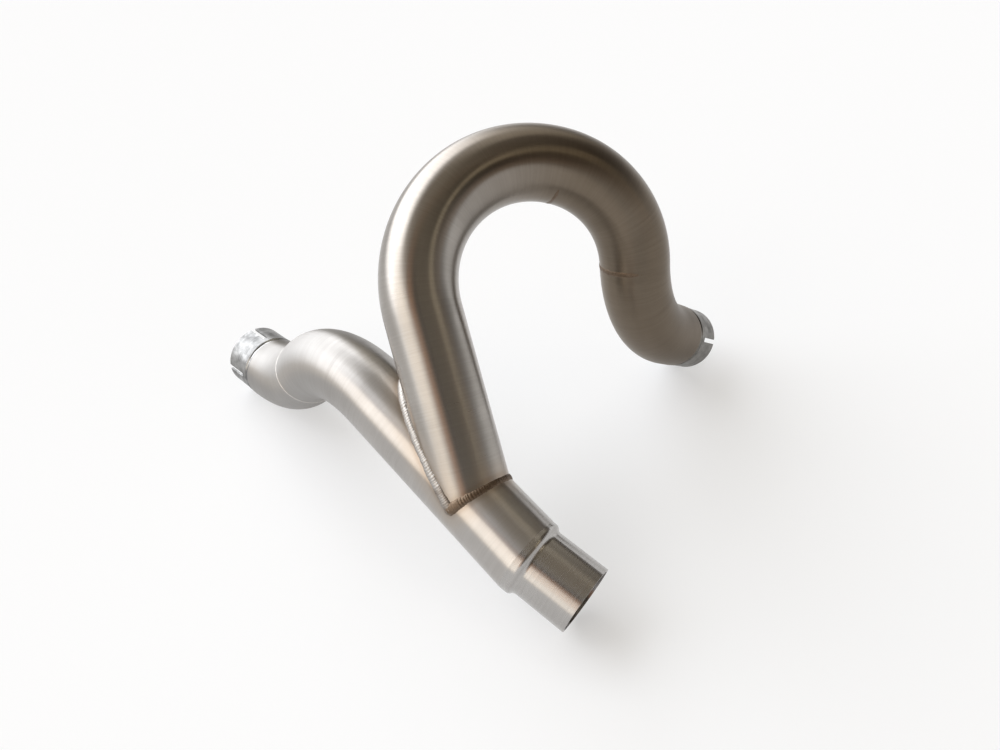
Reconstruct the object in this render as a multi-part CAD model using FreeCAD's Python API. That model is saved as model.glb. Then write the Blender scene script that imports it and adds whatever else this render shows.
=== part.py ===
# Motorcycle decat pipe: two bent exhaust runs welded into one collector.
# The route is set out as a bender would: straight lengths, bend angles and turns between bends.
# It starts where the loop arm's axis meets the collector's axis, and is laid on the floor at the end.
import FreeCAD
import Part
import math
import os

os.makedirs("parts", exist_ok=True)
V = FreeCAD.Vector

# Tube stock, mm
TUBE_OD = 45.0
WALL = 1.5
BEND_R = 73.5
ELBOW_R = 68.5

# Collector and branch: straight lengths clear of the joint in mm, angles in degrees
JOINT_ANGLE = 36.5
OUTLET_CLEAR = 36.0
BRANCH_CLEAR = 17.8
HUMP_ANGLE = 67.5
HUMP_TURN = 67.5
ELBOW_ANGLE = 47.5
ELBOW_TURN = 180.0
BRANCH_NECK = 1.0

# Loop: straight lengths in mm, bends and turns in degrees
ARM_CLEAR = 38.3
ARM_TURN = -36.5
LOOP_ANGLE_1 = 112.5
LOOP_TURN_1 = 30.0
LOOP_ANGLE_2 = 70.5
LOOP_TURN_2 = -219.0
LOOP_ANGLE_3 = 62.0
LOOP_NECK = 13.5

# Outlet spigot, mm and degrees
SPIGOT_OD = 40.0
SPIGOT_WALL = 1.5
SPIGOT_LEN = 31.0
SPIGOT_LAND = 1.0
SPIGOT_TAPER = 5.0
SPIGOT_KINK = 8.5
SPIGOT_TURN = 39.5

# Slotted sockets and the weld necks behind them, mm and degrees
SOCKET_STEP = 1.0
SOCKET_OD = TUBE_OD - SOCKET_STEP
SOCKET_WALL = 1.5
SOCKET_LEN = 22.0
LIP_WIDTH = 2.4
LIP_HEIGHT = 0.3
NECK_LEN = 3.0
NECK_HOLLOW = 0.6
SLOT_COUNT = 4
SLOT_WIDTH = 3.2
SLOT_LEN = 17.0
BRANCH_SLOT_TURN = 4.0
LOOP_SLOT_TURN = 86.5

# Welds, mm: the joint's bead is a rod sunk a little into the tubes, a seam is a low crown
BEAD_R = 2.3
BEAD_SINK = 0.8
BEAD_CROTCH = 4.2
BEAD_CORNER_R = 2.4
SEAM_WIDTH = 3.0
SEAM_PROUD = 0.35

# How it lies: heading of the collector on the floor, and roughly which way is up from the joint
HEADING_ANGLE = 133.0
UP_GUESS = V(-0.15, 0.75, -0.64)
BEND_STEPS = 24

TUBE_R = TUBE_OD / 2.0
BORE_R = TUBE_R - WALL
SOCKET_R = SOCKET_OD / 2.0
SOCKET_BORE_R = SOCKET_R - SOCKET_WALL
SPIGOT_R = SPIGOT_OD / 2.0
SPIGOT_BORE_R = SPIGOT_R - SPIGOT_WALL

X = V(1, 0, 0)
Z = V(0, 0, 1)
ORIGIN = V(0, 0, 0)


def turned(vec, axis, deg):
    return FreeCAD.Rotation(axis, deg).multVec(vec)


def tilted(axis, toward, deg):
    """Axis leaned by an angle towards a direction square to it."""
    rad = math.radians(deg)
    return axis * math.cos(rad) + toward * math.sin(rad)


class Route:
    """Pen that walks along a tube's centre line and keeps the direction of the next bend."""

    def __init__(self, point, heading, toward):
        self.point = point
        self.heading = heading
        self.toward = toward
        self.trail = []

    def here(self):
        return V(self.point), V(self.heading)

    def straight(self, length):
        start = self.here()
        self.point = self.point + self.heading * length
        self.trail += [start, self.here()]
        return start

    def bend(self, radius, deg):
        start = (V(self.point), V(self.heading), V(self.toward))
        centre = self.point + self.toward * radius
        axis = self.heading.cross(self.toward)
        for step in range(1, BEND_STEPS + 1):
            swing = FreeCAD.Rotation(axis, deg * step / BEND_STEPS)
            self.point = centre - swing.multVec(start[2]) * radius
            self.heading = swing.multVec(start[1])
            self.toward = swing.multVec(start[2])
            self.trail.append(self.here())
        return start

    def turn(self, deg):
        self.toward = turned(self.toward, self.heading, deg)


def disc(point, axis, outer, inner):
    face = Part.Face(Part.Wire(Part.makeCircle(outer, point, axis)))
    if inner > 0.0:
        hole = Part.Face(Part.Wire(Part.makeCircle(inner, point, axis)))
        face = face.cut(hole).Faces[0]
    return face


def straight_tube(start, length, outer=TUBE_R, inner=BORE_R):
    point, axis = start
    return disc(point, axis, outer, inner).extrude(axis * length)


def bent_tube(start, radius, deg, outer=TUBE_R, inner=BORE_R):
    point, axis, toward = start
    return disc(point, axis, outer, inner).revolve(point + toward * radius, axis.cross(toward), deg)


def one(shape):
    """The main solid of a boolean result."""
    return max(shape.Solids, key=lambda solid: solid.Volume)


def joined(first, second):
    return one(first.fuse(second).removeSplitter())


def turned_ring(profile, point, axis):
    """Ring turned from corners (along, radius, via); via is a point of the arc to the next corner."""
    side = axis.cross(Z)
    side.normalize()
    edges = []
    for k, (along, radius, via) in enumerate(profile):
        next_along, next_radius = profile[(k + 1) % len(profile)][:2]
        a = point + axis * along + side * radius
        b = point + axis * next_along + side * next_radius
        if via is None:
            edges.append(Part.makeLine(a, b))
        else:
            middle = point + axis * via[0] + side * via[1]
            edges.append(Part.Arc(a, middle, b).toShape())
    return Part.Face(Part.Wire(edges)).revolve(point, axis, 360.0)


def swage(along, length, radius, end_radius):
    """Two tangent arcs that step a tube from one radius to another, as ring corners."""
    drop = radius - end_radius
    arc_r = (length * length + drop * drop) / (4.0 * drop)
    quarter_turn = math.asin(length / 2.0 / arc_r) / 2.0
    out = arc_r * math.sin(quarter_turn)
    fall = arc_r * (1.0 - math.cos(quarter_turn))
    end = along + length
    return [
        (along, radius, (along + out, radius - fall)),
        (along + length / 2.0, radius - drop / 2.0, (end - out, end_radius + fall)),
        (end, end_radius, None),
    ]


def seam(point, axis, *tubes):
    """Low weld crown round a butt joint, sitting on the two tubes."""
    root = TUBE_R - WALL / 2.0
    ring = turned_ring(
        [(-SEAM_WIDTH / 2.0, root, (0.0, TUBE_R + SEAM_PROUD)), (SEAM_WIDTH / 2.0, root, None)],
        point,
        axis,
    )
    for tube in tubes:
        ring = ring.cut(tube)
    return one(ring)


def slot_cutter(face, axis, out):
    """Block that saws one slot through the socket's wall from its rim."""
    side = axis.cross(out)
    corner = face + axis * (SOCKET_LEN - SLOT_LEN) + out * (SOCKET_BORE_R - SOCKET_WALL)
    corner = corner - side * (SLOT_WIDTH / 2.0)
    width = side * SLOT_WIDTH
    length = axis * (SLOT_LEN + SOCKET_WALL)
    wire = Part.makePolygon([corner, corner + width, corner + width + length, corner + length, corner])
    return Part.Face(wire).extrude(out * (3.0 * SOCKET_WALL))


def socket_and_neck(route, slot_turn):
    """Slotted slip socket at the end of a route, and the hollow weld neck behind it."""
    base, axis = route.straight(NECK_LEN)
    hollow = (NECK_LEN / 2.0, (TUBE_R + SOCKET_R) / 2.0 - NECK_HOLLOW)
    neck = turned_ring(
        [
            (0.0, TUBE_R, hollow),
            (NECK_LEN, SOCKET_R, None),
            (NECK_LEN, SOCKET_BORE_R, None),
            (0.0, BORE_R, None),
        ],
        base,
        axis,
    )
    face = route.straight(SOCKET_LEN)[0]
    ring = turned_ring(
        [
            (0.0, SOCKET_R, (LIP_WIDTH / 2.0, SOCKET_R + LIP_HEIGHT)),
            (LIP_WIDTH, SOCKET_R, None),
            (SOCKET_LEN, SOCKET_R, None),
            (SOCKET_LEN, SOCKET_BORE_R, None),
            (0.0, SOCKET_BORE_R, None),
        ],
        face,
        axis,
    )
    for k in range(SLOT_COUNT):
        out = turned(route.toward, axis, slot_turn + k * 360.0 / SLOT_COUNT)
        ring = ring.cut(slot_cutter(face, axis, out))
    return one(ring), one(neck)


pieces = {}

# Where the two equal tubes cross: the crotch of the joint and its blunt side, along either axis
half_angle = JOINT_ANGLE / 2.0
half_rad = math.radians(half_angle)
crotch = TUBE_R / math.tan(half_rad)
blunt = TUBE_R * math.tan(half_rad)
outlet_run = blunt + OUTLET_CLEAR
branch_run = crotch + BRANCH_CLEAR
arm_run = crotch + ARM_CLEAR

# The tubes meet in two planes square to each other, so the arm's end fills a quarter of space
reach = 2.0 * (outlet_run + branch_run + arm_run)
quarter = Part.makeBox(reach, reach, reach, V(0, 0, -reach / 2.0))
quarter.rotate(ORIGIN, Z, half_angle)

# Mitre between collector and outlet spigot
mitre_point = X * -outlet_run
kink_side = turned(Z, X * -1.0, SPIGOT_TURN)
spigot_dir = tilted(X * -1.0, kink_side, SPIGOT_KINK)
mitre_dir = tilted(X * -1.0, kink_side, SPIGOT_KINK / 2.0)
mitre_block = disc(mitre_point, mitre_dir, TUBE_OD, 0.0).extrude(mitre_dir * (SPIGOT_LEN + 2.0 * TUBE_OD))

# Collector, notched for the arm, with the hump bend at its upper end
main = Route(mitre_point, X, turned(Z, X, HUMP_TURN))
main_run = outlet_run + branch_run
main.straight(main_run)
collector = straight_tube((mitre_point - X * TUBE_R, X), main_run + TUBE_R).cut(mitre_block).cut(quarter)
hump = bent_tube(main.bend(BEND_R, HUMP_ANGLE), BEND_R, HUMP_ANGLE)
pieces["collector_tube"] = joined(one(collector), hump)
branch_seam = main.here()

# Branch elbow and its socket
main.turn(ELBOW_TURN)
elbow = bent_tube(main.bend(ELBOW_R, ELBOW_ANGLE), ELBOW_R, ELBOW_ANGLE)
pieces["branch_elbow"] = joined(elbow, straight_tube(main.straight(BRANCH_NECK), BRANCH_NECK))
pieces["branch_socket"], pieces["weld_branch_socket"] = socket_and_neck(main, BRANCH_SLOT_TURN)

# Loop arm, cut to a birdsmouth on the collector, and its first bend
arm_dir = turned(X, Z, JOINT_ANGLE)
loop = Route(ORIGIN, arm_dir, turned(Z, arm_dir, ARM_TURN))
loop.straight(arm_run)
arm_start = (arm_dir * -TUBE_R, arm_dir)
arm = straight_tube(arm_start, arm_run + TUBE_R).common(quarter)
first_bend = bent_tube(loop.bend(BEND_R, LOOP_ANGLE_1), BEND_R, LOOP_ANGLE_1)
pieces["loop_arm"] = joined(one(arm), first_bend)
top_seam = loop.here()

# Crown and elbow of the loop, and its socket
loop.turn(LOOP_TURN_1)
pieces["loop_crown"] = one(bent_tube(loop.bend(BEND_R, LOOP_ANGLE_2), BEND_R, LOOP_ANGLE_2))
side_seam = loop.here()
loop.turn(LOOP_TURN_2)
elbow = bent_tube(loop.bend(BEND_R, LOOP_ANGLE_3), BEND_R, LOOP_ANGLE_3)
pieces["loop_elbow"] = joined(elbow, straight_tube(loop.straight(LOOP_NECK), LOOP_NECK))
pieces["loop_socket"], pieces["weld_loop_socket"] = socket_and_neck(loop, LOOP_SLOT_TURN)

# Outlet spigot: a full-size land on the mitre, a swaged step, then the slip-in length
land = SPIGOT_LAND + TUBE_R * math.tan(math.radians(SPIGOT_KINK / 2.0))
spigot_end = land + SPIGOT_TAPER + SPIGOT_LEN
outside = swage(land, SPIGOT_TAPER, TUBE_R, SPIGOT_R)
inside = swage(-land - SPIGOT_TAPER, SPIGOT_TAPER, SPIGOT_BORE_R, BORE_R)
inside = [(-a, r, via and (-via[0], via[1])) for a, r, via in inside]
profile = [(-TUBE_R, TUBE_R, None)] + outside + [(spigot_end, SPIGOT_R, None)]
profile += [(spigot_end, SPIGOT_BORE_R, None)] + inside + [(-TUBE_R, BORE_R, None)]
pieces["outlet_spigot"] = one(turned_ring(profile, mitre_point, spigot_dir).common(mitre_block))
outlet_rim = mitre_point + spigot_dir * spigot_end

# Low seams on the butt joints
pieces["weld_branch"] = seam(*branch_seam, pieces["collector_tube"], pieces["branch_elbow"])
pieces["weld_loop_top"] = seam(*top_seam, pieces["loop_arm"], pieces["loop_crown"])
pieces["weld_loop_side"] = seam(*side_seam, pieces["loop_crown"], pieces["loop_elbow"])
pieces["weld_outlet"] = seam(mitre_point, mitre_dir, pieces["collector_tube"], pieces["outlet_spigot"])


def half_bead(across, long_half):
    """Weld rod along half an ellipse, from one side of the joint's edge line to the other."""
    ellipse = Part.Ellipse(across * long_half, Z * (TUBE_R - BEAD_SINK), ORIGIN)
    edge = ellipse.toShape(-math.pi / 2.0, math.pi / 2.0)
    first = edge.FirstParameter
    ring = Part.Wire(Part.makeCircle(BEAD_R, edge.valueAt(first), edge.tangentAt(first)))
    return Part.Wire([edge]).makePipeShell([ring], True, False)


# Bead of the joint: it bridges the crotch, is sunk on the blunt side, and has a knob where the halves meet
acute_dir = turned(X, Z, half_angle)
blunt_dir = turned(acute_dir, Z, 90.0)
bead = half_bead(acute_dir, TUBE_R / math.sin(half_rad) + BEAD_CROTCH)
bead = bead.fuse(half_bead(blunt_dir, TUBE_R / math.cos(half_rad) - BEAD_SINK / 2.0))
for corner in (Z, Z * -1.0):
    bead = bead.fuse(Part.makeSphere(BEAD_CORNER_R, corner * (TUBE_R - BEAD_SINK)))
bead = bead.cut(straight_tube((mitre_point, X), main_run, inner=0.0))
bead = bead.cut(straight_tube(arm_start, arm_run + TUBE_R, inner=0.0))
pieces["weld_joint"] = one(bead)


def low_point(point, axis, radius, up):
    """Lowest point of a circle round an axis."""
    down = axis * axis.dot(up) - up
    return point + down * (radius / down.Length)


def rest_plane(groups, up):
    """Plane that touches three groups of circles from below: its normal and the three feet."""
    feet = []
    for unused in range(BEND_STEPS):
        feet = []
        for group in groups:
            spots = [low_point(point, axis, radius, up) for point, axis, radius in group]
            feet.append(min(spots, key=lambda spot: spot.dot(up)))
        normal = (feet[1] - feet[0]).cross(feet[2] - feet[0])
        normal.normalize()
        up = normal if normal.dot(up) > 0.0 else normal * -1.0
    return up, feet


def end_circles(route):
    """Circles of a route's last bend, neck and socket."""
    last = BEND_STEPS + 6
    rings = [(point, axis, TUBE_R) for point, axis in route.trail[-last:-2]]
    return rings + [(point, axis, SOCKET_R) for point, axis in route.trail[-2:]]


# Lay the pipe on the floor: it rests on the outlet's rim, the branch's end and the loop's end
guess = V(UP_GUESS)
guess.normalize()
up, feet = rest_plane([[(outlet_rim, spigot_dir, SPIGOT_R)], end_circles(main), end_circles(loop)], guess)
ahead = X - up * X.dot(up)
ahead.normalize()
level = FreeCAD.Rotation(ahead, up.cross(ahead), up, "ZXY").inverted()
pose = FreeCAD.Placement(ORIGIN, FreeCAD.Rotation(Z, HEADING_ANGLE).multiply(level))
for shape in pieces.values():
    shape.Placement = pose.multiply(shape.Placement)
box = Part.makeCompound(list(pieces.values())).optimalBoundingBox(True, False)
shift = V(-(box.XMin + box.XMax) / 2.0, -(box.YMin + box.YMax) / 2.0, -pose.multVec(feet[0]).z)
for name, shape in pieces.items():
    shape.translate(shift)
    shape.exportStep(os.path.join("parts", name + ".step"))
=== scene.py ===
import math
import random

import bpy
import numpy as np
from mathutils import Matrix, Vector
from mathutils.kdtree import KDTree


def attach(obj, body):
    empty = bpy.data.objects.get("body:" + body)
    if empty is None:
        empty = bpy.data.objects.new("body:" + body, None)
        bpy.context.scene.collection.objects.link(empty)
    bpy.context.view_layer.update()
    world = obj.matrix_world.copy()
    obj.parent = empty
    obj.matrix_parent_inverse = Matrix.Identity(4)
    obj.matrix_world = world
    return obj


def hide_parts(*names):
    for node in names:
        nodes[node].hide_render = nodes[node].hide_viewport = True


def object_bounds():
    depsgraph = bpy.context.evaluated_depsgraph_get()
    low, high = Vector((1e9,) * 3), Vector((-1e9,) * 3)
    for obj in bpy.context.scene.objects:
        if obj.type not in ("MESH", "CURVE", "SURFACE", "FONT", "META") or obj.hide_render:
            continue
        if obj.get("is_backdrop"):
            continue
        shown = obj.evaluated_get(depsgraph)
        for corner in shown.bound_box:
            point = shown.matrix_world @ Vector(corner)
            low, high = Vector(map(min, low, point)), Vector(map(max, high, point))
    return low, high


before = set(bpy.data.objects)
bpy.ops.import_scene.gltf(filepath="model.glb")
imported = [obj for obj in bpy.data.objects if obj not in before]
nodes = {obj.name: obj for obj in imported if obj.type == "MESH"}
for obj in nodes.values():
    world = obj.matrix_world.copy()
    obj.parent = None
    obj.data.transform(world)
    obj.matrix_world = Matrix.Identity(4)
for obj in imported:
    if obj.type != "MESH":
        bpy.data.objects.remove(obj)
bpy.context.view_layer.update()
MM = 0.001

# Tube stock and route, as in the part's source
TUBE_R = 22.5 * MM
BORE_R = 21.0 * MM
BEND_R = 73.5 * MM
ELBOW_R = 68.5 * MM
JOINT_ANGLE = 36.5
OUTLET_CLEAR = 36.0 * MM
BRANCH_CLEAR = 17.8 * MM
HUMP_ANGLE = 67.5
HUMP_TURN = 67.5
ELBOW_ANGLE = 47.5
BRANCH_NECK = 1.0 * MM
ARM_CLEAR = 38.3 * MM
ARM_TURN = -36.5
LOOP_ANGLE_1 = 112.5
LOOP_TURN_1 = 30.0
LOOP_ANGLE_2 = 70.5
LOOP_TURN_2 = -219.0
LOOP_ANGLE_3 = 62.0
LOOP_NECK = 13.5 * MM
SPIGOT_KINK = 8.5
SPIGOT_TURN = 39.5
BEAD_SINK = 0.8 * MM

# Where the joint lies, and the directions of the collector and of the joint's edge line
JOINT = np.array((0.000918364, -0.062163569, 0.042933397))
X = np.array((-0.649108025, 0.696083136, 0.306801303))
Z = np.array((0.577390895, 0.713424836, -0.397045032))
Y = np.cross(Z, X)

COLUMNS = 128
STEP_DEG = 1.5
ROUND = np.linspace(0.0, 2.0 * math.pi, COLUMNS, endpoint=False)


def turned(vec, axis, deg):
    return np.array(Matrix.Rotation(math.radians(deg), 3, Vector(axis))) @ vec


class Walk:
    """Frames along a tube's centre line: point, heading, the side that is the tube's zero angle."""

    def __init__(self, point, heading, side, toward):
        self.point = point
        self.heading = heading
        self.side = side
        self.toward = toward
        self.along = 0.0

    def here(self):
        return (self.point, self.heading, self.side, self.along)

    def straight(self, length):
        start = self.here()
        self.point = self.point + self.heading * length
        self.along += length
        return [start, self.here()]

    def bend(self, radius, deg):
        point, heading, side, along = self.here()
        toward = self.toward
        centre = point + toward * radius
        axis = np.cross(heading, toward)
        steps = round(deg / STEP_DEG)
        found = [self.here()]
        for k in range(1, steps + 1):
            angle = deg * k / steps
            self.point = centre + turned(point - centre, axis, angle)
            self.heading = turned(heading, axis, angle)
            self.side = turned(side, axis, angle)
            self.along = along + radius * math.radians(angle)
            found.append(self.here())
        self.toward = turned(toward, axis, deg)
        return found

    def turn(self, deg):
        self.toward = turned(self.toward, self.heading, deg)


def ring(station, radius, offsets=0.0):
    """Points round a station, each moved along the tube by its offset, with tube coordinates and flow."""
    point, heading, side, along = station
    out = np.outer(np.cos(ROUND), side) + np.outer(np.sin(ROUND), np.cross(heading, side))
    offsets = np.zeros(COLUMNS) + offsets
    points = point + out * radius + np.outer(offsets, heading)
    tube = np.stack([along + offsets, np.cos(ROUND) * radius, np.sin(ROUND) * radius], 1)
    return points, tube, np.tile(heading, (COLUMNS, 1)), out


class Shell:
    """Gathers rings and quads with a map, then becomes one object."""

    def __init__(self):
        self.points = []
        self.tube = []
        self.flow = []
        self.faces = []
        self.maps = []
        self.smooth = []
        self.out = []
        self.normals = []

    def add(self, rows):
        """Rings as an index table, one row each."""
        table = []
        for points, tube, flow, out in rows:
            first = len(self.points)
            self.points += points.tolist()
            self.tube += tube.tolist()
            self.flow += flow.tolist()
            self.out += out.tolist()
            table.append(np.arange(first, first + len(points)))
        return np.array(table)

    def skin(self, table, area, inside=False, smooth=True, columns=None):
        """Quads between rows; area is (low u, high u, low v, high v) on the map."""
        u0, u1, v0, v1 = area
        rows, count = table.shape
        chosen = range(count) if columns is None else columns
        for r in range(rows - 1):
            ua = u0 + (u1 - u0) * r / (rows - 1)
            ub = u0 + (u1 - u0) * (r + 1) / (rows - 1)
            for c in chosen:
                n = (c + 1) % count
                va = v0 + (v1 - v0) * c / count
                vb = v0 + (v1 - v0) * (c + 1) / count
                quad = [table[r][c], table[r][n], table[r + 1][n], table[r + 1][c]]
                place = [(ua, va), (ua, vb), (ub, vb), (ub, va)]
                if inside:
                    quad.reverse()
                    place.reverse()
                self.faces.append([int(k) for k in quad])
                self.maps += place
                self.smooth.append(smooth)
                way = (-1.0 if inside else 1.0) if smooth else 0.0
                self.normals += [[way * part for part in self.out[k]] for k in quad]

    def drop_unused(self):
        """Leaves out the points that no face uses."""
        used = sorted({k for face in self.faces for k in face})
        place = {k: n for n, k in enumerate(used)}
        self.faces = [[place[k] for k in face] for face in self.faces]
        self.points = [self.points[k] for k in used]
        self.tube = [self.tube[k] for k in used]
        self.flow = [self.flow[k] for k in used]

    def build(self, name, material, slot, heat, *replaced):
        mesh = bpy.data.meshes.new(name)
        mesh.from_pydata(self.points, [], self.faces)
        mesh.polygons.foreach_set("use_smooth", self.smooth)
        layer = mesh.uv_layers.new(name="OFBake")
        layer.data.foreach_set("uv", np.array(self.maps, np.float32).ravel())
        for title, values in (("tube", self.tube), ("flow", self.flow)):
            made = mesh.attributes.new(title, "FLOAT_VECTOR", "POINT")
            made.data.foreach_set("vector", np.array(values, np.float32).ravel())
        made = mesh.attributes.new("weld_heat", "FLOAT", "POINT")
        made.data.foreach_set("value", np.array(heat(self), np.float32))
        mesh.update()
        mesh.normals_split_custom_set(self.normals)
        obj = bpy.data.objects.new(name, mesh)
        bpy.context.scene.collection.objects.link(obj)
        mesh.materials.append(material)
        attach(obj, "root")
        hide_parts(*replaced)
        return obj


OUTER_MAP = (0.01, 0.99, 0.01, 0.70)
INNER_MAP = (0.01, 0.99, 0.72, 0.95)
START_MAP = (0.01, 0.03, 0.96, 0.99)
END_MAP = (0.05, 0.07, 0.96, 0.99)


def tube(rows_out, rows_in, *finish):
    """Tube wall with both ends closed."""
    shell = Shell()
    outer = shell.add(rows_out)
    inner = shell.add(rows_in)
    shell.skin(outer, OUTER_MAP)
    shell.skin(inner, INNER_MAP, inside=True)
    shell.skin(np.array([inner[0], outer[0]]), START_MAP, smooth=False)
    shell.skin(np.array([outer[-1], inner[-1]]), END_MAP, smooth=False)
    return shell.build(*finish)


def rings(stations, radius):
    return [ring(s, radius) for s in stations]


# Node helpers


def add(tree, kind, inputs=(), **settings):
    """New node; inputs maps sockets to values or to other nodes' sockets."""
    made = tree.nodes.new(kind)
    for key, value in settings.items():
        setattr(made, key, value)
    for key, value in dict(inputs).items():
        if isinstance(value, bpy.types.NodeSocket):
            tree.links.new(value, made.inputs[key])
        else:
            made.inputs[key].default_value = value
    return made


def new_tree(name):
    material = bpy.data.materials.new(name)
    material.use_nodes = True
    material.node_tree.nodes.clear()
    return material, material.node_tree


def blend_colour(tree, factor, low, high, how="MIX"):
    """Mix of two colours, each a value or a socket."""
    made = add(tree, "ShaderNodeMix", {0: factor, 6: low, 7: high}, data_type="RGBA", blend_type=how)
    return made.outputs[2]


def spread(tree, value, low, high, to_low, to_high, smooth=False):
    kind = "SMOOTHSTEP" if smooth else "LINEAR"
    sockets = {"Value": value, "From Min": low, "From Max": high, "To Min": to_low, "To Max": to_high}
    return add(tree, "ShaderNodeMapRange", sockets, interpolation_type=kind).outputs["Result"]


def maths(tree, operation, first, second):
    return add(tree, "ShaderNodeMath", {0: first, 1: second}, operation=operation).outputs[0]


def cloud(tree, vector, stretch, detail=3.0, rough=0.55):
    """Noise from coordinates in metres, stretched by features per metre along each."""
    scaled = add(tree, "ShaderNodeVectorMath", {0: vector, 1: stretch}, operation="MULTIPLY").outputs[0]
    sockets = {"Vector": scaled, "Scale": 1.0, "Detail": detail, "Roughness": rough}
    return add(tree, "ShaderNodeTexNoise", sockets).outputs[0]


def made_coords(tree):
    """Tube coordinates and flow that the pieces made here carry."""
    tube_at = add(tree, "ShaderNodeAttribute", attribute_name="tube").outputs["Vector"]
    flow = add(tree, "ShaderNodeAttribute", attribute_name="flow").outputs["Vector"]
    return tube_at, flow


def axis_coords(tree, axis):
    """The same for a straight piece, from its axis."""
    axis = Vector(axis).normalized()
    side = axis.orthogonal().normalized()
    place = add(tree, "ShaderNodeTexCoord").outputs["Object"]
    parts = []
    for direction in (axis, side, axis.cross(side)):
        dot = add(tree, "ShaderNodeVectorMath", {0: place, 1: direction}, operation="DOT_PRODUCT")
        parts.append(dot.outputs["Value"])
    tube_at = add(tree, "ShaderNodeCombineXYZ", {0: parts[0], 1: parts[1], 2: parts[2]}).outputs[0]
    flow = add(tree, "ShaderNodeCombineXYZ", {0: axis[0], 1: axis[1], 2: axis[2]}).outputs[0]
    return tube_at, flow


BUMP_DEPTH = 0.2 * MM


def metal(tree, colour, rough, height, bump, flow, stretch):
    """Metal surface and output from its parts."""
    normal = add(
        tree,
        "ShaderNodeBump",
        {"Strength": bump, "Distance": BUMP_DEPTH, "Height": height},
    ).outputs[0]
    shader = add(
        tree,
        "ShaderNodeBsdfPrincipled",
        {
            "Base Color": colour,
            "Metallic": 1.0,
            "Roughness": rough,
            "Normal": normal,
            "Anisotropic": stretch,
            "Tangent": flow,
        },
    )
    add(tree, "ShaderNodeOutputMaterial", {"Surface": shader.outputs[0]})


SATIN_DARK = (0.385, 0.365, 0.345, 1.0)
SATIN_LIGHT = (0.465, 0.445, 0.425, 1.0)
STRAW = (0.40, 0.34, 0.28, 1.0)
SCORCH = (0.30, 0.235, 0.18, 1.0)


def satin(
    name,
    axis=None,
    rough=0.31,
    stretch=0.88,
    dark=SATIN_DARK,
    light=SATIN_LIGHT,
    heated=True,
    shaded_run=None,
):
    """Brushed stainless: fine scratches round the tube, faint clouds, heat tint by the welds.

    A run with painted shade is given by where its darkening begins and ends along it, the tint that darkens
    it, and the roughness it adds.
    """
    material, tree = new_tree(name)
    tube_at, flow = made_coords(tree) if axis is None else axis_coords(tree, axis)
    hair = cloud(tree, tube_at, (6000.0, 40.0, 40.0), 3.0, 0.65)
    band = cloud(tree, tube_at, (900.0, 30.0, 30.0), 2.0)
    patch = cloud(tree, tube_at, (28.0, 28.0, 28.0), 2.0)
    grain = maths(tree, "ADD", maths(tree, "MULTIPLY", hair, 0.6), maths(tree, "MULTIPLY", band, 0.4))
    tone = maths(tree, "ADD", maths(tree, "MULTIPLY", grain, 0.6), maths(tree, "MULTIPLY", patch, 0.4))
    colour = blend_colour(tree, spread(tree, tone, 0.35, 0.65, 0.0, 1.0), dark, light)
    gloss = spread(tree, tone, 0.3, 0.7, rough + 0.06, rough - 0.05)
    # Painted shade: the colour darkens along the run between its given points.
    if shaded_run:
        first, last, tint, haze = shaded_run
        along = add(tree, "ShaderNodeSeparateXYZ", {0: tube_at}).outputs[0]
        shade_share = spread(tree, along, first, last, 0.0, 1.0, True)
        colour = blend_colour(tree, shade_share, colour, tint, "MULTIPLY")
        gloss = maths(tree, "ADD", gloss, maths(tree, "MULTIPLY", shade_share, haze))
    if heated:
        heat = add(tree, "ShaderNodeAttribute", attribute_name="weld_heat").outputs["Fac"]
        wave = spread(tree, patch, 0.3, 0.7, -0.12, 0.12)
        uneven = maths(tree, "ADD", heat, maths(tree, "MULTIPLY", wave, heat))
        colour = blend_colour(tree, spread(tree, uneven, 0.08, 0.55, 0.0, 0.45, True), colour, STRAW)
        colour = blend_colour(tree, spread(tree, uneven, 0.55, 1.0, 0.0, 0.6, True), colour, SCORCH)
    metal(tree, colour, gloss, grain, 0.05, flow, stretch)
    return material


def bright(name, axis, rough, dark, light):
    """Unbrushed bright steel with cloudy handling marks."""
    material, tree = new_tree(name)
    tube_at, flow = axis_coords(tree, axis)
    mark = cloud(tree, tube_at, (160.0, 160.0, 160.0), 4.0, 0.6)
    line = cloud(tree, tube_at, (1800.0, 90.0, 90.0), 3.0, 0.6)
    tone = maths(tree, "ADD", maths(tree, "MULTIPLY", mark, 0.7), maths(tree, "MULTIPLY", line, 0.3))
    colour = blend_colour(tree, spread(tree, tone, 0.35, 0.65, 0.0, 1.0), dark, light)
    gloss = spread(tree, tone, 0.35, 0.65, rough + 0.12, rough - 0.06)
    metal(tree, colour, gloss, line, 0.05, flow, 0.3)
    return material


def weld(name, cool_dark=(0.29, 0.275, 0.255, 1.0), cool_light=(0.47, 0.45, 0.43, 1.0)):
    """Rippled bead: silver where it ran cool, straw and brown where it ran hot."""
    material, tree = new_tree(name)
    tube_at, flow = made_coords(tree)
    speck = cloud(tree, tube_at, (900.0, 900.0, 900.0), 3.0, 0.6)
    patch = cloud(tree, tube_at, (140.0, 140.0, 140.0), 2.0)
    heat = add(tree, "ShaderNodeAttribute", attribute_name="weld_heat").outputs["Fac"]
    silver = blend_colour(tree, speck, cool_dark, cool_light)
    brown = blend_colour(tree, speck, (0.10, 0.07, 0.048, 1.0), (0.21, 0.158, 0.115, 1.0))
    uneven = maths(tree, "ADD", heat, spread(tree, patch, 0.3, 0.7, -0.18, 0.18))
    colour = blend_colour(tree, spread(tree, uneven, 0.2, 0.8, 0.0, 1.0, True), silver, brown)
    metal(tree, colour, spread(tree, speck, 0.3, 0.7, 0.54, 0.40), speck, 0.2, flow, 0.0)
    return material


# Painted shade: the collector's colour darkens slightly towards the hump, dimming its highlight; the
# roughness it gains there also spreads the highlight.
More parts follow.
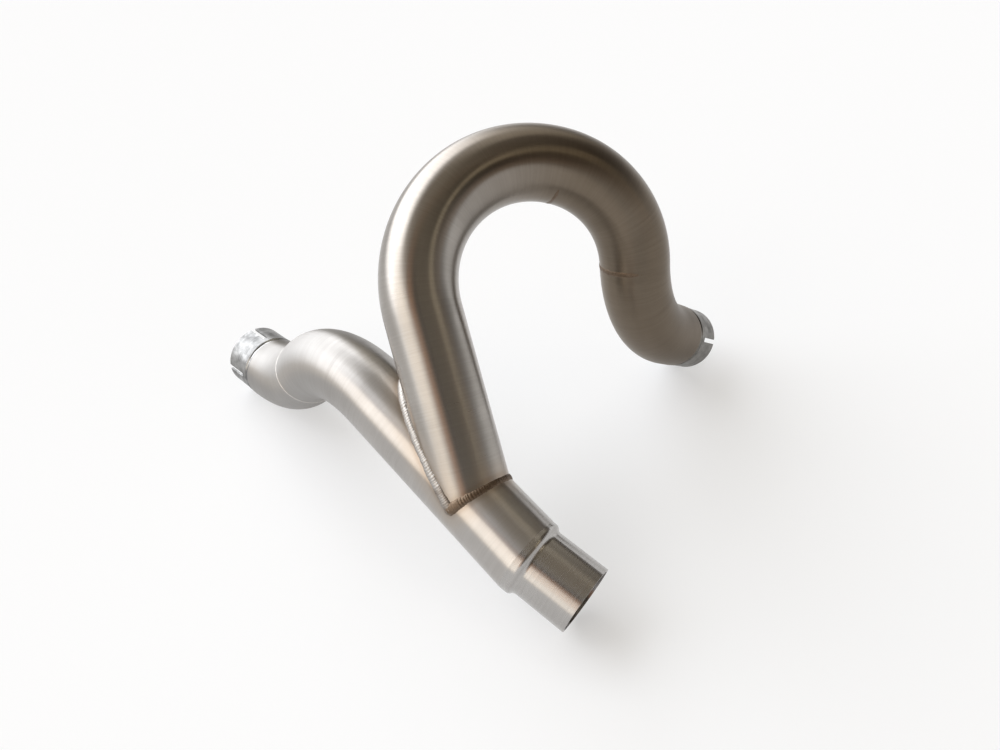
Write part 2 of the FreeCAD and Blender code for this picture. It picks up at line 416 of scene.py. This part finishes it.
TUBE_SHADED_RUN = (0.10, 0.19, (0.84, 0.85, 0.86, 1.0), 0.08)
SATIN = satin("satin_brushed_tube", shaded_run=TUBE_SHADED_RUN)
# Painted shade: the loop's copy of the satin is darker than the collector's. It darkens further to brown
# along the arm's first bend and is fully dark on the crown and elbow.
LOOP_DARK = (0.305, 0.283, 0.258, 1.0)
LOOP_LIGHT = (0.385, 0.36, 0.333, 1.0)
LOOP_SHADED_RUN = (0.12, 0.27, (0.46, 0.40, 0.33, 1.0), 0.0)
SATIN_LOOP_SHADED = satin("satin_brushed_loop_shaded", dark=LOOP_DARK, light=LOOP_LIGHT, shaded_run=LOOP_SHADED_RUN)
WELD = weld("weld_bead")
WELD_BRIGHT = weld("weld_bright_seam", (0.46, 0.44, 0.42, 1.0), (0.64, 0.62, 0.59, 1.0))

# The joint of the two equal tubes lies in two planes: the acute one and the blunt one
half = math.radians(JOINT_ANGLE / 2.0)
ACUTE = turned(X, Z, JOINT_ANGLE / 2.0)
BLUNT = turned(ACUTE, Z, 90.0)
ARM = turned(X, Z, JOINT_ANGLE)
crotch = TUBE_R / math.tan(half)
blunt = TUBE_R * math.tan(half)
outlet_run = blunt + OUTLET_CLEAR
branch_run = crotch + BRANCH_CLEAR
arm_run = crotch + ARM_CLEAR


# Weld bead of the joint
BEAD_BRIDGE = 8.0 * MM
BEAD_WIDE = 2.8 * MM
BEAD_TALL = 1.9 * MM
RIPPLE = 1.5 * MM
RIPPLE_STEPS = 10
RIPPLE_HEIGHT = 0.18 * MM
BEAD_COLUMNS = 24
BEAD_DEPTH = 0.5 * MM
CAP_STEPS = 5
dice = random.Random(7)


def leg_line(across, long_half):
    """Evenly spaced points of half an ellipse, with their distances along it."""
    angle = np.linspace(-math.pi / 2.0, math.pi / 2.0, 4000)
    reach_out = np.outer(np.cos(angle) * long_half, across)
    reach_up = np.outer(np.sin(angle), Z * (TUBE_R - BEAD_SINK))
    line = JOINT + reach_out + reach_up
    gone = np.concatenate([[0.0], np.cumsum(np.linalg.norm(np.diff(line, axis=0), axis=1))])
    count = int(gone[-1] / RIPPLE * RIPPLE_STEPS)
    even = np.linspace(0.0, gone[-1], count)
    return np.stack([np.interp(even, gone, line[:, k]) for k in range(3)], 1), even


def on_tubes(points):
    """Moves points that lie deep in a tube out to just under its surface."""
    rel = points - JOINT
    in_arm = (rel @ ACUTE > 0.0) & (rel @ BLUNT > 0.0)
    for axis, chosen in ((ARM, in_arm), (X, ~in_arm)):
        base = np.outer(rel @ axis, axis)
        out = rel - base
        far = np.linalg.norm(out, axis=1)
        deep = chosen & (far < TUBE_R - BEAD_DEPTH)
        rel[deep] = base[deep] + out[deep] * ((TUBE_R - BEAD_DEPTH) / far[deep])[:, None]
    return rel + JOINT


def bead_leg(across, long_half, begin, heats, hot):
    """Overlapping puddles along one leg of the joint, rounded off at both ends."""
    line, gone = leg_line(across, long_half)
    flow = np.gradient(line, axis=0)
    flow /= np.linalg.norm(flow, axis=1)[:, None]
    side = np.cross(across, Z)
    around = np.linspace(0.0, 2.0 * math.pi, BEAD_COLUMNS, endpoint=False)
    count = int(gone[-1] / RIPPLE * 1.3) + 6
    pace = np.cumsum([dice.uniform(0.6, 1.4) for k in range(count)])
    swell = np.array([dice.uniform(0.96, 1.06) for k in range(count)])
    drift = np.array([dice.uniform(-0.14, 0.14) for k in range(count)]) * MM
    order = np.arange(count)
    rows = []
    last = len(line) - 1
    stations = [(0, -k) for k in range(CAP_STEPS, 0, -1)]
    stations += [(k, 0) for k in range(len(line))]
    stations += [(last, k) for k in range(1, CAP_STEPS + 1)]
    for at, cap in stations:
        out = np.cross(flow[at], side)
        if out @ (line[at] - JOINT) < 0.0:
            out = -out
        place = np.interp(gone[at] / RIPPLE + pace[1], pace, order)
        phase = place + 0.6 * np.cos(around)
        level = phase - np.floor(phase)
        crest = 1.0 - (2.0 * level - 1.0) ** 2
        grown = np.interp(place, order, swell)
        ripple = RIPPLE_HEIGHT * (crest - 0.6)
        lean = math.radians(90.0 * cap / CAP_STEPS)
        reach = BEAD_WIDE * math.sin(lean)
        shrink = max(math.cos(lean), 0.02)
        tall = (BEAD_TALL * grown + ripple) * shrink
        broad = 1.0 + 0.3 * (2.0 * gone[at] / gone[-1] - 1.0) ** 2
        wide = (BEAD_WIDE * grown * broad + 0.5 * ripple) * shrink
        middle = line[at] + flow[at] * reach + side * np.interp(place, order, drift)
        points = middle + np.outer(np.cos(around) * tall, out) + np.outer(np.sin(around) * wide, side)
        run = np.full(BEAD_COLUMNS, begin + gone[at] + reach)
        spot = np.stack([run, np.cos(around) * tall, np.sin(around) * wide], 1)
        rows.append((on_tubes(points), spot, np.tile(flow[at], (BEAD_COLUMNS, 1)), 0.0 * points))
        heats += [hot(gone[at] / gone[-1])] * BEAD_COLUMNS
    return rows, line


def acute_heat(gone_share):
    """Cool and silver along the acute leg, warmer at its corners."""
    return 0.05 + 0.6 * abs(2.0 * gone_share - 1.0) ** 4


def blunt_heat(gone_share):
    """Hot and brown along the blunt leg."""
    return 0.95 - 0.25 * (2.0 * gone_share - 1.0) ** 6


bead = Shell()
bead_heat = []
acute_half = TUBE_R / math.sin(half) + BEAD_BRIDGE
blunt_half = TUBE_R / math.cos(half) - 1.3 * BEAD_SINK
acute_rows, acute_line = bead_leg(ACUTE, acute_half, 0.0, bead_heat, acute_heat)
blunt_rows, blunt_line = bead_leg(BLUNT, blunt_half, 1.0, bead_heat, blunt_heat)
outward = np.cross(np.gradient(acute_line, axis=0)[5], np.cross(ACUTE, Z)) @ (acute_line[5] - JOINT)
for rows, area in ((acute_rows, (0.01, 0.99, 0.01, 0.48)), (blunt_rows, (0.01, 0.99, 0.52, 0.99))):
    table = bead.add(rows)
    bead.skin(table, area, inside=outward < 0.0)
    for k, flip in ((0, outward > 0.0), (-1, outward < 0.0)):
        closing = [int(c) for c in table[k]]
        bead.faces.append(closing[::-1] if flip else closing)
        bead.maps += [(0.5, 0.5)] * BEAD_COLUMNS
        bead.smooth.append(True)
        bead.normals += [[0.0, 0.0, 0.0]] * BEAD_COLUMNS
bead.build("joint_bead", WELD, "weld_steel", lambda shell: bead_heat, "weld_joint")

# Heat tint fades with the distance from the bead
bead_points = np.concatenate([acute_line[::4], blunt_line[::4]])
near = KDTree(len(bead_points))
for k, spot in enumerate(bead_points):
    near.insert(spot, k)
near.balance()
HEAT_REACH = 6.5 * MM


def bead_glow(shell):
    return [math.exp(-max(near.find(p)[2] - BEAD_WIDE, 0.0) / HEAT_REACH) for p in shell.points]


def plain_tube(stations, name, material, node):
    """A tube of the common diameter with square ends."""
    outer = rings(stations, TUBE_R)
    inner = rings(stations, BORE_R)
    tube(outer, inner, name, material, "satin_steel", bead_glow, node)


# Collector, open where the arm enters, with the hump bend
kink_side = turned(Z, -X, SPIGOT_TURN)
walk = Walk(JOINT - X * outlet_run, X, Y, turned(Z, X, HUMP_TURN))
start = walk.straight(outlet_run + branch_run)[0]
hump = walk.bend(BEND_R, HUMP_ANGLE)
OUTLET_ROWS = 14
BRANCH_ROWS = 22
shell = Shell()
skins = []
for radius in (TUBE_R, BORE_R):
    out = np.outer(np.cos(ROUND), Y) + np.outer(np.sin(ROUND), Z)
    mitre = math.tan(math.radians(SPIGOT_KINK / 2.0)) * radius * (out @ kink_side)
    open_y = np.maximum(np.cos(ROUND) * radius, 0.0)
    low_edge = outlet_run - open_y * math.tan(half)
    high_edge = outlet_run + open_y / math.tan(half)
    far_end = outlet_run + branch_run
    steps = np.linspace(0.0, 1.0, OUTLET_ROWS)
    low = shell.add([ring(start, radius, mitre + (low_edge - mitre) * t) for t in steps])
    steps = np.linspace(0.0, 1.0, BRANCH_ROWS)
    high_rows = [ring(start, radius, high_edge + (far_end - high_edge) * t) for t in steps]
    high = shell.add(high_rows[:-1] + rings(hump, radius))
    shared = open_y < 1e-9
    high[0][shared] = low[-1][shared]
    skins.append((low, high, shared))
(low_out, high_out, shared), (low_in, high_in, unused) = skins
shell.skin(low_out, (0.01, 0.30, 0.01, 0.70))
shell.skin(high_out, (0.32, 0.99, 0.01, 0.70))
shell.skin(low_in, (0.01, 0.30, 0.72, 0.95), inside=True)
shell.skin(high_in, (0.32, 0.99, 0.72, 0.95), inside=True)
shell.skin(np.array([low_in[0], low_out[0]]), START_MAP, smooth=False)
shell.skin(np.array([high_out[-1], high_in[-1]]), END_MAP, smooth=False)
hole = [c for c in range(COLUMNS) if not (shared[c] and shared[(c + 1) % COLUMNS])]
shell.skin(np.array([low_out[-1], low_in[-1]]), (0.09, 0.11, 0.96, 0.99), smooth=False, columns=hole)
shell.skin(np.array([high_in[0], high_out[0]]), (0.13, 0.15, 0.96, 0.99), smooth=False, columns=hole)
shell.drop_unused()
shell.build("collector_skin", SATIN, "satin_steel", bead_glow, "collector_tube")
branch_joint = walk.here()

# Branch elbow
walk.turn(180.0)
elbow = walk.bend(ELBOW_R, ELBOW_ANGLE)
elbow += walk.straight(BRANCH_NECK)[1:]
plain_tube(elbow, "branch_elbow_skin", SATIN, "branch_elbow")
branch_axis = walk.heading

# Loop arm, coped onto the collector, and its first bend
walk = Walk(JOINT, ARM, turned(ARM, Z, -90.0), turned(Z, ARM, ARM_TURN))
start = walk.straight(arm_run)[0]
first_bend = walk.bend(BEND_R, LOOP_ANGLE_1)
ARM_ROWS = 36
both = []
for radius in (TUBE_R, BORE_R):
    lean = np.cos(ROUND) * radius
    cope = np.where(lean > 0.0, lean / math.tan(half), -lean * math.tan(half))
    steps = np.linspace(0.0, 1.0, ARM_ROWS)[:-1]
    rows = [ring(start, radius, cope + (arm_run - cope) * t) for t in steps]
    both.append(rows + rings(first_bend, radius))
tube(*both, "loop_arm_skin", SATIN_LOOP_SHADED, "satin_steel", bead_glow, "loop_arm")
top_joint = walk.here()
top_inside = walk.toward

# Crown and elbow of the loop
walk.turn(LOOP_TURN_1)
crown = walk.bend(BEND_R, LOOP_ANGLE_2)
plain_tube(crown, "loop_crown_skin", SATIN_LOOP_SHADED, "loop_crown")
side_joint = walk.here()
side_inside = walk.toward
walk.turn(LOOP_TURN_2)
elbow = walk.bend(BEND_R, LOOP_ANGLE_3)
elbow += walk.straight(LOOP_NECK)[1:]
plain_tube(elbow, "loop_elbow_skin", SATIN_LOOP_SHADED, "loop_elbow")
loop_axis = walk.heading

# Butt seams: ground nearly flush, with the crown of the bead left on one side
SEAM_ROWS = 9
SEAM_ROOT = 0.5 * MM
SEAM_FLUSH = -0.08 * MM
SEAM_EDGE = 0.12 * MM


def seam(name, station, width, crown_height, facing, spread_deg, fade_deg, hot, node, material=WELD):
    """Low weld ring round a butt joint; facing is where its crown is left standing."""
    point, heading, side, along = station
    out = np.outer(np.cos(ROUND), side) + np.outer(np.sin(ROUND), np.cross(heading, side))
    facing = facing - heading * (facing @ heading)
    facing = facing / np.linalg.norm(facing)
    lean = np.degrees(np.arccos(np.clip(out @ facing, -1.0, 1.0)))
    weight = np.clip((spread_deg - lean) / fade_deg, 0.0, 1.0)
    weight = weight * weight * (3.0 - 2.0 * weight)
    arc = ROUND * TUBE_R
    lump = np.array([dice.uniform(0.55, 1.15) for k in range(COLUMNS)])
    lump = (lump + np.roll(lump, 1) + np.roll(lump, -1)) / 3.0
    rows = []
    shell = Shell()
    for r in range(SEAM_ROWS):
        across = 2.0 * r / (SEAM_ROWS - 1) - 1.0
        phase = arc / RIPPLE + 0.5 * (1.0 - across * across)
        puddle = np.abs(np.sin(math.pi * phase))
        height = (SEAM_FLUSH + crown_height * weight * lump * (0.8 + 0.2 * puddle)) * (1.0 - across**2)
        height = height - SEAM_EDGE * across**6
        shift = across * width / 2.0 * (0.4 + 0.6 * weight) * lump
        points = point + out * (TUBE_R + height)[:, None] + np.outer(shift, heading)
        spot = np.stack([along + shift, np.cos(ROUND) * TUBE_R, np.sin(ROUND) * TUBE_R], 1)
        rows.append((points, spot, np.tile(heading, (COLUMNS, 1)), 0.0 * points))
    table = shell.add(rows)
    edges = (-width / 2.0, width / 2.0)
    low = shell.add([ring(station, TUBE_R - SEAM_ROOT, edge) for edge in edges])
    shell.skin(table, OUTER_MAP)
    shell.skin(low, INNER_MAP, inside=True)
    shell.skin(np.array([low[0], table[0]]), START_MAP)
    shell.skin(np.array([table[-1], low[1]]), END_MAP)
    heat = np.full(len(shell.points), hot)
    return shell.build(name, material, "weld_steel", lambda made: heat, node)


TOWARDS_CAMERA = np.array((0.0, -0.78, 0.62))
TOWARDS_LOOP = np.array((0.75, 0.66, 0.1))
seam("seam_loop_top", top_joint, 3.4 * MM, 0.34 * MM, top_inside, 44.0, 34.0, 0.85, "weld_loop_top")
seam("seam_loop_side", side_joint, 4.8 * MM, 0.52 * MM, side_inside, 105.0, 85.0, 0.95, "weld_loop_side")
branch_crown = (TOWARDS_CAMERA, 150.0, 40.0)
seam("seam_branch", branch_joint, 1.6 * MM, 0.42 * MM, *branch_crown, 0.0, "weld_branch", WELD_BRIGHT)
mitre_lean = math.radians(SPIGOT_KINK / 2.0)
mitre_dir = -X * math.cos(mitre_lean) + kink_side * math.sin(mitre_lean)
mitre_side = Y - mitre_dir * (Y @ mitre_dir)
mitre_side = mitre_side / np.linalg.norm(mitre_side)
outlet_joint = (JOINT - X * outlet_run, mitre_dir, mitre_side, 0.0)
seam("seam_outlet", outlet_joint, 1.4 * MM, 0.16 * MM, TOWARDS_LOOP, 45.0, 30.0, 0.9, "weld_outlet")


# Pieces that keep their CAD shape get their finishes
def finish(name, material):
    obj = nodes[name]
    for held in obj.material_slots:
        held.material = material


OUTLET_AXIS = (0.754394667, -0.599492676, -0.267389637)
finish(
    "outlet_spigot",
    satin("satin_spigot", OUTLET_AXIS, 0.26, 0.8, (0.39, 0.375, 0.36, 1.0), (0.48, 0.465, 0.45, 1.0), False),
)
PALE = ((0.15, 0.15, 0.148, 1.0), (0.34, 0.338, 0.333, 1.0))
# Painted shade: the loop socket and its neck take darker tones than the branch socket and its neck.
LOOP_SOCKET_SHADE = ((0.13, 0.125, 0.115, 1.0), (0.23, 0.22, 0.205, 1.0))
finish("branch_socket", bright("bright_branch_socket", branch_axis, 0.36, *PALE))
finish("loop_socket", bright("bright_loop_socket", loop_axis, 0.32, *LOOP_SOCKET_SHADE))
finish("weld_branch_socket", bright("polished_branch_neck", branch_axis, 0.12, *PALE))
finish("weld_loop_socket", bright("polished_loop_neck", loop_axis, 0.12, *LOOP_SOCKET_SHADE))


# Studio: pale floor, soft panels of light in the sky
def backdrop_rays(tree):
    """One for the rays that show the backdrop: from the camera, by gloss or through glass."""
    ways = add(tree, "ShaderNodeLightPath").outputs
    seen = maths(tree, "MAXIMUM", ways["Is Camera Ray"], ways["Is Glossy Ray"])
    return maths(tree, "MAXIMUM", seen, ways["Is Transmission Ray"])


floor_mesh = bpy.data.meshes.new("floor")
FLOOR_HALF = 60.0
FLOOR_LEVEL = -0.0002
corners = [(-1, -1), (1, -1), (1, 1), (-1, 1)]
floor_points = [(x * FLOOR_HALF, y * FLOOR_HALF, FLOOR_LEVEL) for x, y in corners]
floor_mesh.from_pydata(floor_points, [], [(0, 1, 2, 3)])
floor = bpy.data.objects.new("floor", floor_mesh)
bpy.context.scene.collection.objects.link(floor)
floor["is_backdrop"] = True
paper, tree = new_tree("pale_floor")
paper_shader = add(tree, "ShaderNodeBsdfDiffuse", {"Color": (0.91, 0.93, 0.955, 1.0)})
paper_glow = add(tree, "ShaderNodeEmission", {"Color": (1.0, 1.0, 1.0, 1.0), "Strength": 1.0})
seen = backdrop_rays(tree)
PAPER_GLOW = 0.50
share = maths(tree, "MULTIPLY", seen, PAPER_GLOW)
both = add(tree, "ShaderNodeMixShader", {0: share, 1: paper_shader.outputs[0], 2: paper_glow.outputs[0]})
add(tree, "ShaderNodeOutputMaterial", {"Surface": both.outputs[0]})
floor_mesh.materials.append(paper)

world = bpy.data.worlds.new("studio")
bpy.context.scene.world = world
world.use_nodes = True
tree = world.node_tree
tree.nodes.clear()
ray = add(tree, "ShaderNodeTexCoord").outputs["Generated"]
parts = add(tree, "ShaderNodeSeparateXYZ", {0: ray}).outputs
bearing = maths(tree, "ARCTAN2", parts[0], parts[1])
height = add(tree, "ShaderNodeMath", {0: parts[2]}, operation="ARCSINE").outputs[0]


def between(value, low, high, soft):
    """One inside a span of degrees, zero outside it, with soft ends."""
    low_a, low_b = math.radians(low - soft), math.radians(low + soft)
    high_a, high_b = math.radians(high - soft), math.radians(high + soft)
    rise = spread(tree, value, low_a, low_b, 0.0, 1.0, True)
    fall = spread(tree, value, high_a, high_b, 1.0, 0.0, True)
    return maths(tree, "MULTIPLY", rise, fall)


def panel(light, bearings, heights, soft, colour):
    """Adds a panel of light; bearing 0 is away from the camera and 90 is to its right."""
    wide = between(bearing, *bearings, soft)
    tall = between(height, *heights, soft)
    mask = maths(tree, "MULTIPLY", wide, tall)
    sockets = {0: mask, 1: colour, 2: light}
    return add(tree, "ShaderNodeVectorMath", sockets, operation="MULTIPLY_ADD").outputs[0]


# A dim room with a wide window to the left, a pale wall behind, and a lamp over the camera
light = add(tree, "ShaderNodeCombineXYZ", {0: 0.08, 1: 0.062, 2: 0.044}).outputs[0]
light = panel(light, (-102.0, -12.0), (7.0, 56.0), 7.0, (4.2, 4.3, 4.45))
light = panel(light, (-145.0, -104.0), (0.0, 40.0), 5.0, (2.2, 2.05, 1.85))
light = panel(light, (-163.0, -147.0), (12.0, 46.0), 4.0, (0.75, 0.38, 0.2))
light = panel(light, (-12.0, 40.0), (28.0, 72.0), 7.0, (0.66, 0.62, 0.53))
light = panel(light, (-360.0, 360.0), (56.0, 120.0), 7.0, (0.18, 0.157, 0.12))
light = panel(light, (92.0, 124.0), (43.0, 49.5), 3.0, (1.6, 1.4, 1.0))
light = panel(light, (116.0, 200.0), (44.0, 48.0), 3.0, (0.45, 0.38, 0.26))
light = panel(light, (100.0, 150.0), (8.0, 26.0), 5.0, (0.28, 0.2, 0.13))

# The pale backdrop goes on a little above the floor's edge
BACKDROP = 0.985
BACKDROP_FULL = math.radians(11.0)
BACKDROP_GONE = math.radians(17.0)
seen = backdrop_rays(tree)
low_down = spread(tree, height, BACKDROP_FULL, BACKDROP_GONE, 1.0, 0.0, True)
paleness = maths(tree, "MULTIPLY", seen, low_down)
light = blend_colour(tree, paleness, light, (BACKDROP, BACKDROP, BACKDROP, 1.0), "LIGHTEN")
studio = add(tree, "ShaderNodeBackground", {"Color": light, "Strength": 1.0})
add(tree, "ShaderNodeOutputWorld", {"Surface": studio.outputs[0]})

# Camera at the photograph's angle
camera_data = bpy.data.cameras.new("camera")
camera = bpy.data.objects.new("camera", camera_data)
bpy.context.scene.collection.objects.link(camera)
bpy.context.scene.camera = camera
camera_data.sensor_fit = "HORIZONTAL"
camera_data.sensor_width = 36.0
camera_data.lens = 27.387
camera_data.clip_start = 0.01
ahead = Vector((0.00174, 0.77989, -0.62592)).normalized()
across = Vector((0.9992, -0.0261, -0.0298))
across = (across - ahead * across.dot(ahead)).normalized()
above = across.cross(ahead)
place = Matrix((across, above, -ahead)).transposed().to_4x4()
place.translation = (0.01745, -0.35127, 0.36231)
camera.matrix_world = place

bpy.context.scene.view_settings.view_transform = "Standard"

low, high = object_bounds()
